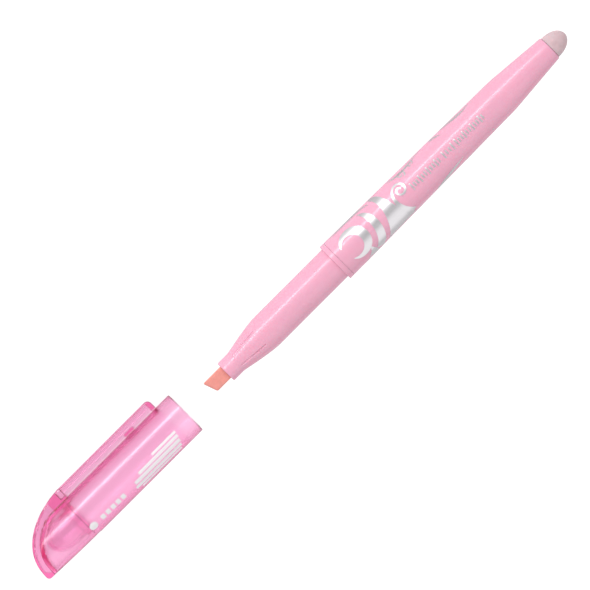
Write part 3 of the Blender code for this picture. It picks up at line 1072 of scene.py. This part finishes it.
def tail_curve(cap, steps=60):
    """The outer line of the spine over the tail, as (height off the axis, z) from root to tip."""
    return bezier(
        (cap.clip_height, -cap.clip_root),
        (cap.clip_height, -41.7 * MM),
        (6.7 * MM, -55.2 * MM),
        (-4.8 * MM, -cap.length),
        steps,
    )


def inward(points, distance):
    """The same curve moved inwards."""
    moved = []
    for index, point in enumerate(points):
        ahead = points[min(index + 1, len(points) - 1)]
        behind = points[max(index - 1, 0)]
        along = (ahead - behind).normalized()
        moved.append(point + distance * Vector((along.y, -along.x)))
    return moved


def underside(cap, along, wall):
    """The cap's lowest line: round in the tube, and a flat that rises along the tail."""
    flat_start = -40 * MM
    rise = 0.545 * MM * max(0.0, (flat_start - along) / (cap.length + flat_start))
    bottom = -cap.radius + rise + wall
    nose = 0.9 * MM
    past = (-along - (cap.length - wall - nose)) / nose
    if past > 0:
        bottom += nose * (1 - math.sqrt(max(0.0, 1 - min(past, 1.0) ** 2)))
    return bottom


def tail_rings(cap, wall, radius, rib_half, rib_line, body_line, first):
    """Cross-sections along the tail, from where the rib starts to the tip, one for each point of its line."""
    rings = []
    for point in rib_line:
        if point.y > first:
            continue
        bottom = underside(cap, point.y, wall)
        top = height_at(body_line, point.y)
        if point.y < body_line[-1].y:
            top = bottom - 1 * MM
        rings.append(Ring(point.y, radius, top, bottom, rib_half, max(point.x, bottom + 0.02 * MM)))
        if point.x <= bottom + 0.02 * MM:
            break
    last = rings[-1]
    rings.append(Ring(last.along, 0.0, last.bottom - 1 * MM, last.bottom, 1e-9, last.bottom + 1e-9))
    return rings


def tube_rings(rows, top, bottom):
    return [Ring(along, radius, top, bottom, 0.0, 0.0) for radius, along in rows]


class HIGHLIGHTER_OT_cap_shell(bpy.types.Operator):
    """Cap shell: the clear tube, its wedge tail and the spine that carries the clip"""

    bl_idname = "highlighter.cap_shell"
    bl_label = "Cap shell"

    def execute(self, context):
        cap = context.scene.highlighter_cap
        piece = lofted("cap_moulding", [*self.outside(cap), *self.inside(cap)])
        # The channel under the clip goes on for a little way into the spine's root.
        low = (cap.radius + 0.3 * MM, -1.25 * MM, -cap.clip_root - 1.7 * MM)
        channel = block("channel_end", low, (8.75 * MM, 1.25 * MM, -cap.clip_root + 1 * MM), 0.2 * MM)
        combine(piece, channel, "DIFFERENCE")
        smooth(piece, math.radians(35))
        clear = clear_polystyrene(
            "clear_polystyrene", context.scene.highlighter_colours.clear, 0.22, 360.0
        )
        finish_piece(piece, MOUTH_AT, clear, "cap", ["cap_shell"])
        return {"FINISHED"}

    def outside(self, cap):
        """From the tip to the mouth."""
        curve = tail_curve(cap)
        half = cap.clip_width / 2
        far = 2 * cap.radius
        body_line = inward(curve, cap.spine_depth)
        tail = tail_rings(cap, 0.0, cap.radius, half, curve, body_line, -cap.clip_root - 0.3 * MM)
        edge = 0.25 * MM
        root = []
        for step in range(4):
            angle = math.pi / 2 * step / 3
            shrink = edge * (1 - math.sin(angle))
            along = -cap.clip_root - edge * (1 - math.cos(angle))
            root.append(
                Ring(along, cap.radius, far, -cap.radius, half - shrink, cap.clip_height - shrink)
            )
        rim = outlined(
            [
                (cap.radius, -cap.clip_root, 0.0),
                (cap.radius, 0.0, 0.25 * MM),
                (cap.mouth_bore, 0.0, 0.0),
            ],
            longest=3 * MM,
        )
        tube = tube_rings(rim[:-1], far, -far)
        return [*reversed(tail), *reversed(root), *tube]

    def inside(self, cap):
        """From the mouth to the hollow's tip."""
        curve = tail_curve(cap)
        far = 2 * cap.radius
        wall = 1.0 * MM
        slot_start = -41.5 * MM
        rows = outlined(
            [
                (cap.radius, 0.0, 0.0),
                (cap.mouth_bore, 0.0, 0.25 * MM),
                (cap.mouth_bore, -cap.mouth_depth, 0.0),
                (cap.bore, -cap.mouth_depth - 0.02 * MM, 0.0),
                (cap.bore, -38.0 * MM, 0.0),
            ],
            longest=3 * MM,
        )
        tube = tube_rings(rows[1:], far, -far)
        roof = inward(curve, cap.spine_depth + wall)
        before_slot = []
        for point in roof:
            if slot_start < point.y < -38.0 * MM:
                bottom = underside(cap, point.y, wall)
                before_slot.append(Ring(point.y, cap.bore, point.x, bottom, 0.0, 0.0))
        top = height_at(roof, slot_start)
        bottom = underside(cap, slot_start, wall)
        before_slot.append(Ring(slot_start, cap.bore, top, bottom, 0.0, 0.0))
        slot_line = inward(curve, wall * 0.55)
        slot_half = cap.clip_width / 2 - 1.4 * wall
        start = Ring(
            slot_start, cap.bore, top, bottom, slot_half, height_at(slot_line, slot_start)
        )
        tail = tail_rings(cap, wall, cap.bore, slot_half, slot_line, roof, slot_start - 0.1 * MM)
        return [*tube, *before_slot, start, *tail]


class HIGHLIGHTER_OT_clip(bpy.types.Operator):
    """Clip: the springy arm, with a channel and a grip pad on its underside"""

    bl_idname = "highlighter.clip"
    bl_label = "Clip"

    def execute(self, context):
        cap = context.scene.highlighter_cap
        half = cap.clip_width / 2
        top = cap.clip_height
        under = top - cap.clip_depth
        near = -cap.clip_start
        far = -cap.clip_root + 0.03 * MM
        piece = block("clip_moulding", (under, -half, far), (top, half, near))
        tiny = 0.01 * MM

        def free_corner(mesh, edge):
            ends = ends_of(mesh, edge)
            return all(end.x > top - tiny and end.z > near - tiny for end in ends)

        select_parts(piece, edges=free_corner)
        bpy.ops.mesh.bevel(offset=1.3 * MM, segments=8, affect="EDGES")
        bpy.ops.object.mode_set(mode="OBJECT")

        def long_rim(mesh, edge):
            ends = ends_of(mesh, edge)
            level = abs(ends[0].y - ends[1].y) < tiny
            at_root = all(end.z < far + tiny for end in ends)
            beneath = all(end.x < under + tiny for end in ends)
            return level and not at_root and not beneath

        select_parts(piece, edges=long_rim)
        bpy.ops.mesh.bevel(offset=0.4 * MM, segments=4, affect="EDGES")
        bpy.ops.object.mode_set(mode="OBJECT")
        # The channel is a wide trough under a narrower one.
        for number, (roof, reach) in enumerate(((7.6 * MM, 1.5 * MM), (8.75 * MM, 1.25 * MM))):
            cutter = block(
                f"channel_{number}",
                (under - 2 * MM, -reach, far - 1 * MM),
                (roof, reach, near - 1.2 * MM),
                0.2 * MM,
            )
            combine(piece, cutter, "DIFFERENCE")
        pad = block(
            "grip_pad",
            (under - 0.03 * MM, -1.6 * MM, -15.3 * MM),
            (7.1 * MM, 1.6 * MM, -12.3 * MM),
            0.08 * MM,
        )
        combine(piece, pad, "UNION")
        # Cuts across the root let the arm bend there.
        for step in range(1, 6):
            edit_all(piece)
            bpy.ops.mesh.bisect(
                plane_co=(0, 0, far + 0.8 * step * MM), plane_no=(0, 0, 1), threshold=WELD
            )
        smooth(close_up(piece), math.radians(35))
        clear = clear_polystyrene(
            "clear_polystyrene_arm", context.scene.highlighter_colours.clear, 0.22, 360.0
        )
        finish_piece(piece, MOUTH_AT, clear, None, ["clip"])
        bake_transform(piece)
        return {"FINISHED"}


class HIGHLIGHTER_OT_liner(bpy.types.Operator):
    """Liner: the inner cap, with a flange, a ring that seals round the lip and a domed chamber"""

    bl_idname = "highlighter.liner"
    bl_label = "Inner cap"

    def execute(self, context):
        start = -37.4 * MM
        flange_end = start - 2.2 * MM
        dome_start = -43.0 * MM
        steps = 20
        outer_dome, inner_dome = [], []
        for step in range(steps):
            angle = math.pi / 2 * step / steps
            outer_dome.append((4.2 * MM * math.cos(angle), dome_start - 6.0 * MM * math.sin(angle), 0.0))
            inner_dome.append((3.4 * MM * math.cos(angle), dome_start - 5.0 * MM * math.sin(angle), 0.0))
        inside = [
            (0.0, dome_start - 5.0 * MM, 0.0),
            *reversed(inner_dome),
            (3.4 * MM, flange_end - 1.5 * MM, 0.0),
            (3.25 * MM, flange_end - 1.0 * MM, 0.0),
            (3.25 * MM, start, 0.2 * MM),
            (4.8 * MM, start, 0.2 * MM),
            (4.8 * MM, flange_end, 0.2 * MM),
            (4.2 * MM, flange_end - 0.1 * MM, 0.0),
            *outer_dome,
            (0.0, dome_start - 6.0 * MM, 0.0),
        ]
        rows = outlined(inside)[1:]
        piece = turned("liner_moulding", rows, solid=False)
        self.close_chamber(piece, dome_start - 5.0 * MM)
        smooth(piece, math.radians(35))
        clear = clear_polystyrene(
            "clear_polystyrene_liner", context.scene.highlighter_colours.clear, 0.1, 200.0
        )
        finish_piece(piece, MOUTH_AT, clear, "cap", ["inner_cap"])
        return {"FINISHED"}

    def close_chamber(self, piece, bottom):
        """Closes the small hole that is left where the chamber's first ring starts."""
        def open_rim(mesh, edge):
            return all(abs(end.z - bottom) < 0.1 * MM and end.xy.length < 0.6 * MM for end in ends_of(mesh, edge))

        select_parts(piece, edges=open_rim)
        bpy.ops.mesh.extrude_region_move(TRANSFORM_OT_translate={"value": (0, 0, 0)})
        bpy.ops.mesh.merge(type="CENTER")
        bpy.ops.object.mode_set(mode="OBJECT")
        close_up(piece)


# ---------------------------------------------------------------------------------------------------------
# Foil pattern and print
# ---------------------------------------------------------------------------------------------------------


def wrapped_ribbon(name, line, half_widths, skin, radius_of, thickness, cells=48, across=8):
    """A ribbon laid round a tube. Its line holds (along, round) points in metres, and round runs to the clip."""
    deselect()
    bpy.ops.mesh.primitive_grid_add(x_subdivisions=cells, y_subdivisions=across, size=2)
    piece = named(name)
    last = len(line) - 1
    ways = [line[min(spot + 1, last)] - line[max(spot - 1, 0)] for spot in range(last + 1)]
    for vertex in piece.data.vertices:
        t = (vertex.co.x + 1) / 2
        index = min(int(t * last), last - 1)
        share = t * last - index
        here = line[index].lerp(line[index + 1], share)
        way = ways[index].normalized().lerp(ways[index + 1].normalized(), share).normalized()
        flat = here + vertex.co.y * cubic(t, half_widths) * Vector((-way.y, way.x))
        radius = radius_of(flat.x) + skin
        turn = flat.y / radius
        vertex.co = (radius * math.sin(turn), radius * math.cos(turn), flat.x)
    close_up(piece)
    solid = piece.modifiers.new("thickness", "SOLIDIFY")
    solid.thickness = thickness
    solid.offset = 1.0 if outward(piece) else -1.0
    apply_modifiers(piece)
    return close_up(piece)


def outward(piece):
    """Whether a thin sheet's faces point away from the axis."""
    face = piece.data.polygons[len(piece.data.polygons) // 2]
    return face.normal.x * face.center.x + face.normal.y * face.center.y > 0


def arc(centre, radius, first, last, stretch=1.0, steps=40):
    """Points along an arc in the unrolled skin, in metres, with angles in degrees."""
    points = []
    for step in range(steps + 1):
        angle = math.radians(first + (last - first) * step / steps)
        x = centre[0] + radius * stretch * math.cos(angle)
        y = centre[1] + radius * math.sin(angle)
        points.append(Vector((x * MM, y * MM)))
    return points


def curl(centre, first_radius, last_radius, first, last, steps=56):
    """Points along a spiral in the unrolled skin."""
    points = []
    for step in range(steps + 1):
        t = step / steps
        angle = math.radians(first + (last - first) * t)
        radius = first_radius + (last_radius - first_radius) * t
        points.append(
            Vector(((centre[0] + radius * math.cos(angle)) * MM, (centre[1] + radius * math.sin(angle)) * MM))
        )
    return points


def sweep(start, start_handle, end_handle, end, steps=40):
    """A cubic curve in the unrolled skin, given in millimetres."""
    corners = [Vector(point) * MM for point in (start, start_handle, end_handle, end)]
    return bezier(*corners, steps)


def mm_list(*values):
    return [value * MM for value in values]


def merged(name, pieces):
    """Joins pieces into one object."""
    select_only(*pieces)
    bpy.ops.object.join()
    whole = bpy.context.object
    whole.name = name
    whole.data.name = name
    return whole


class HIGHLIGHTER_OT_foil(bpy.types.Operator):
    """Foil: crescents, a wave with a curl, slivers and a row of plain bars stamped round the barrel"""

    bl_idname = "highlighter.foil"
    bl_label = "Foil pattern"

    def execute(self, context):
        pen = context.scene.highlighter_pen
        pattern = context.scene.highlighter_pattern
        profile = [(radius, -height) for radius, height in barrel_profile(pen)]

        def radius_of(along):
            return height_at(profile, -along)

        shapes = [*self.front_shapes(), *self.bars(pattern)]
        pieces = []
        for number, (line, widths) in enumerate(shapes):
            pieces.append(
                wrapped_ribbon(
                    f"foil_{number}", line, widths, 0.008 * MM, radius_of, pattern.foil_thickness
                )
            )
        repeated = pieces[: self.repeat_count]
        for number, piece in enumerate(repeated):
            pieces.append(copy_of(piece, f"foil_back_{number}", pattern.back_turn))
        whole = merged("foil_pattern", pieces)
        smooth(whole)
        foil = hot_stamped_foil(context.scene.highlighter_colours.foil)
        finish_piece(whole, COLLAR_AT, foil, "pen", [])
        return {"FINISHED"}

    repeat_count = 9

    def front_shapes(self):
        """(line, half widths) of each shape, in the unrolled skin: along the pen, then round towards the clip."""
        return [
            (arc((6.8, -0.1), 3.75, 160, -136, 0.96), mm_list(0.04, 1.5, 1.75, 0.04)),
            (sweep((8.9, -7.4), (9.3, -6.3), (9.6, -5.4), (9.4, -3.9)), mm_list(1.6, 1.3, 0.8, 0.1)),
            (sweep((12.4, 5.6), (15.6, 2.6), (14.9, -2.8), (11.4, -6.8)), mm_list(0.06, 1.5, 0.9, 1.3)),
            (sweep((17.4, 7.2), (20.6, 2.6), (19.0, -1.2), (19.4, -7.0)), mm_list(0.6, 1.3, 1.0, 4.9)),
            (sweep((23.6, -6.0), (21.2, -2.0), (21.6, 1.4), (23.2, 2.9)), mm_list(1.5, 0.6, 0.25, 0.3)),
            (curl((24.7, 1.5), 2.05, 0.5, 137, -340), mm_list(0.3, 0.34, 0.24, 0.14)),
            (sweep((3.4, 7.0), (8.0, 7.5), (13.0, 7.9), (16.4, 5.4)), mm_list(0.05, 1.1, 0.6, 0.1)),
            (sweep((23.8, 6.6), (27.0, 4.4), (31.0, 5.4), (35.0, 7.0)), mm_list(0.1, 0.7, 0.3, 0.1)),
            (sweep((42.4, 7.2), (46.0, 6.6), (49.4, 4.6), (52.4, 6.2)), mm_list(0.1, 0.8, 0.5, 0.1)),
            (curl((27.6, 4.6), 1.3, 0.35, -60, 330), mm_list(0.2, 0.3, 0.22, 0.12)),
            (curl((31.6, 5.2), 1.0, 0.3, 240, -140), mm_list(0.16, 0.26, 0.18, 0.1)),
            (sweep((32.2, -7.4), (35.4, -6.2), (38.6, -5.4), (42.4, -4.5)), mm_list(0.5, 0.9, 0.5, 0.04)),
            (sweep((38.9, 6.8), (40.0, 6.4), (41.0, 5.6), (42.2, 4.7)), mm_list(0.5, 0.5, 0.3, 0.04)),
            (arc((52.7, -5.6), 0.12, 0, 359), mm_list(0.2, 0.2, 0.2, 0.2)),
        ]

    def bars(self, pattern):
        """A row of upright bars, long and short by turns, in three groups."""
        tall = pattern.bar_height / 2
        made = []
        for first, last in ((27.6, 37.2), (39.0, 42.2), (43.6, 52.9)):
            count = round((last - first) / 0.95)
            for index in range(count + 1):
                along = (first + (last - first) * index / count) * MM
                reach = tall if index % 3 == 0 else tall * 0.62
                line = [Vector((along, -0.15 * MM - reach)), Vector((along, -0.15 * MM + reach))]
                made.append((line, mm_list(0.2, 0.2, 0.2, 0.2)))
        return made


class HIGHLIGHTER_OT_cap_print(bpy.types.Operator):
    """Print: a disc, a row of short bars and a block of plain stripes in white on the cap"""

    bl_idname = "highlighter.cap_print"
    bl_label = "Cap print"

    def execute(self, context):
        cap = context.scene.highlighter_cap
        pattern = context.scene.highlighter_pattern

        def radius_of(along):
            return cap.radius

        pieces = []
        for number, (line, widths) in enumerate(self.shapes()):
            pieces.append(
                wrapped_ribbon(
                    f"print_{number}", line, widths, 0.008 * MM, radius_of, pattern.print_thickness
                )
            )
        whole = merged("cap_print", pieces)
        smooth(whole)
        ink = pad_printed_ink(context.scene.highlighter_colours.ink)
        finish_piece(whole, MOUTH_AT, ink, "cap", [])
        return {"FINISHED"}

    def shapes(self):
        made = [(arc((-36.9, -4.3), 0.62, 0, 359), mm_list(0.6, 0.6, 0.6, 0.6))]
        for start in (-34.1, -32.3, -30.5, -28.7, -26.9):
            line = [Vector((start * MM, -4.3 * MM)), Vector(((start + 1.25) * MM, -4.3 * MM))]
            made.append((line, mm_list(0.78, 0.78, 0.78, 0.78)))
        stripes = (
            (-20.8, -6.9, -6.9, 0.4),
            (-22.4, -6.3, -5.6, 0.55),
            (-21.8, -5.8, -4.1, 0.55),
            (-19.4, -5.4, -2.75, 0.45),
            (-13.6, -5.2, -1.55, 0.35),
        )
        for first, last, level, wide in stripes:
            line = [Vector((first * MM, level * MM)), Vector((last * MM, level * MM))]
            made.append((line, mm_list(wide, wide, wide, wide)))
        return made


# ---------------------------------------------------------------------------------------------------------
# The stage
# ---------------------------------------------------------------------------------------------------------


def soft_light(name, turn, distance, size, radiance, target):
    """A panel of light along the pen, this many degrees from the foil side towards the clip side."""
    angle = math.radians(turn)
    way = FOIL_WAY * math.cos(angle) + CLIP_WAY * math.sin(angle)
    deselect()
    bpy.ops.object.light_add(type="AREA")
    light = bpy.context.object
    light.name = name
    light.data.shape = "RECTANGLE"
    light.data.size, light.data.size_y = size
    light.data.energy = radiance * math.pi * size[0] * size[1]
    across = way.cross(PEN_WAY)
    axes = Matrix((PEN_WAY, across, way)).transposed().to_4x4()
    light.matrix_world = Matrix.Translation(target + distance * way) @ axes
    light.visible_camera = False
    return light


class HIGHLIGHTER_OT_stage(bpy.types.Operator):
    """Stage: a light table, soft lights, a pale surround and the camera"""

    bl_idname = "highlighter.stage"
    bl_label = "Stage"

    def execute(self, context):
        scene = context.scene
        stage = scene.highlighter_stage
        self.add_table(scene, stage)
        self.add_world(scene)
        self.add_lights()
        self.add_camera(scene, stage)
        scene.view_settings.view_transform = "Standard"
        # Light crosses up to a dozen walls in the cap's tail.
        scene.cycles.max_bounces = 24
        scene.cycles.transmission_bounces = 24
        scene.cycles.glossy_bounces = 24
        return {"FINISHED"}

    def add_table(self, scene, stage):
        deselect()
        bpy.ops.mesh.primitive_grid_add(x_subdivisions=8, y_subdivisions=8, size=stage.table_size)
        table = named("light_table")
        table.data.materials.append(light_table_acrylic(scene.highlighter_colours.table, stage.table_glow))

    def add_world(self, scene):
        world = bpy.data.worlds.new("pale_room")
        world.use_nodes = True
        tree = world.node_tree
        tree.nodes.clear()
        path = add(tree, "ShaderNodeLightPath", {})
        seen = add(
            tree,
            "ShaderNodeMath",
            {0: (path, "Is Camera Ray"), 1: (path, "Transmission Depth")},
            operation="MAXIMUM",
        )
        level = add(
            tree, "ShaderNodeMapRange", {"Value": (seen, "Value"), "To Min": 0.5, "To Max": 0.78}
        )
        surround = add(
            tree, "ShaderNodeBackground", {"Color": (1.0, 1.0, 1.0, 1.0), "Strength": (level, "Result")}
        )
        add(tree, "ShaderNodeOutputWorld", {"Surface": (surround, "Background")})
        scene.world = world

    def add_lights(self):
        target = (COLLAR_AT + MOUTH_AT) / 2
        soft_light("strip_light", 40, 0.6, (0.5, 0.085), 9.5, target)
        soft_light("clip_side_panel", 41, 0.8, (1.5, 0.62), 0.95, target)
        soft_light("far_side_panel", -65, 0.9, (1.5, 1.26), 0.6, target)

    def add_camera(self, scene, stage):
        deselect()
        bpy.ops.object.camera_add()
        camera = bpy.context.object
        camera.name = "camera"
        camera.data.sensor_width = 36.0
        camera.data.lens = stage.lens
        camera.data.clip_end = 50.0
        # The pen lies on the view's diagonal, its eraser towards the upper right.
        right = (PEN_WAY - CLIP_WAY).normalized()
        up = (PEN_WAY + CLIP_WAY).normalized()
        axes = Matrix((right, up, FOIL_WAY)).transposed().to_4x4()
        aim = Vector((-0.11 * MM, AXIS.y, AXIS.z)) + 1.42 * MM * CLIP_WAY
        distance = stage.view_width * stage.lens / camera.data.sensor_width
        camera.matrix_world = Matrix.Translation(aim + distance * FOIL_WAY) @ axes
        scene.camera = camera


# ---------------------------------------------------------------------------------------------------------
# The panel and the add-on
# ---------------------------------------------------------------------------------------------------------


class HIGHLIGHTER_PT_pieces(bpy.types.Panel):
    """Lists the pieces in the order that they are made"""

    bl_idname = "HIGHLIGHTER_PT_pieces"
    bl_label = "Highlighter"
    bl_space_type = "VIEW_3D"
    bl_region_type = "UI"
    bl_category = "Highlighter"

    def draw(self, context):
        for operator in OPERATORS:
            self.layout.operator(operator.bl_idname)
        for group in SIZE_GROUPS:
            values = getattr(context.scene, group)
            box = self.layout.box()
            for name in values.bl_rna.properties.keys():
                if name not in ("rna_type", "name"):
                    box.prop(values, name)


SIZE_GROUPS = {
    "highlighter_pen": PenSizes,
    "highlighter_cap": CapSizes,
    "highlighter_pattern": PatternSizes,
    "highlighter_colours": FinishColours,
    "highlighter_stage": StageSizes,
}
OPERATORS = (
    HIGHLIGHTER_OT_barrel,
    HIGHLIGHTER_OT_section,
    HIGHLIGHTER_OT_nib,
    HIGHLIGHTER_OT_eraser,
    HIGHLIGHTER_OT_ink_core,
    HIGHLIGHTER_OT_cap_shell,
    HIGHLIGHTER_OT_clip,
    HIGHLIGHTER_OT_liner,
    HIGHLIGHTER_OT_foil,
    HIGHLIGHTER_OT_cap_print,
    HIGHLIGHTER_OT_stage,
)
CLASSES = (*SIZE_GROUPS.values(), *OPERATORS, HIGHLIGHTER_PT_pieces)


def register():
    for made in CLASSES:
        bpy.utils.register_class(made)
    for name, group in SIZE_GROUPS.items():
        setattr(bpy.types.Scene, name, bpy.props.PointerProperty(type=group))


def unregister():
    for name in SIZE_GROUPS:
        delattr(bpy.types.Scene, name)
    for made in reversed(CLASSES):
        bpy.utils.unregister_class(made)


def main():
    register()
    bpy.ops.highlighter.barrel()
    bpy.ops.highlighter.section()
    bpy.ops.highlighter.nib()
    bpy.ops.highlighter.eraser()
    bpy.ops.highlighter.ink_core()
    bpy.ops.highlighter.cap_shell()
    bpy.ops.highlighter.clip()
    bpy.ops.highlighter.liner()
    bpy.ops.highlighter.foil()
    bpy.ops.highlighter.cap_print()
    bpy.ops.highlighter.stage()


if __name__ == "__main__":
    main()
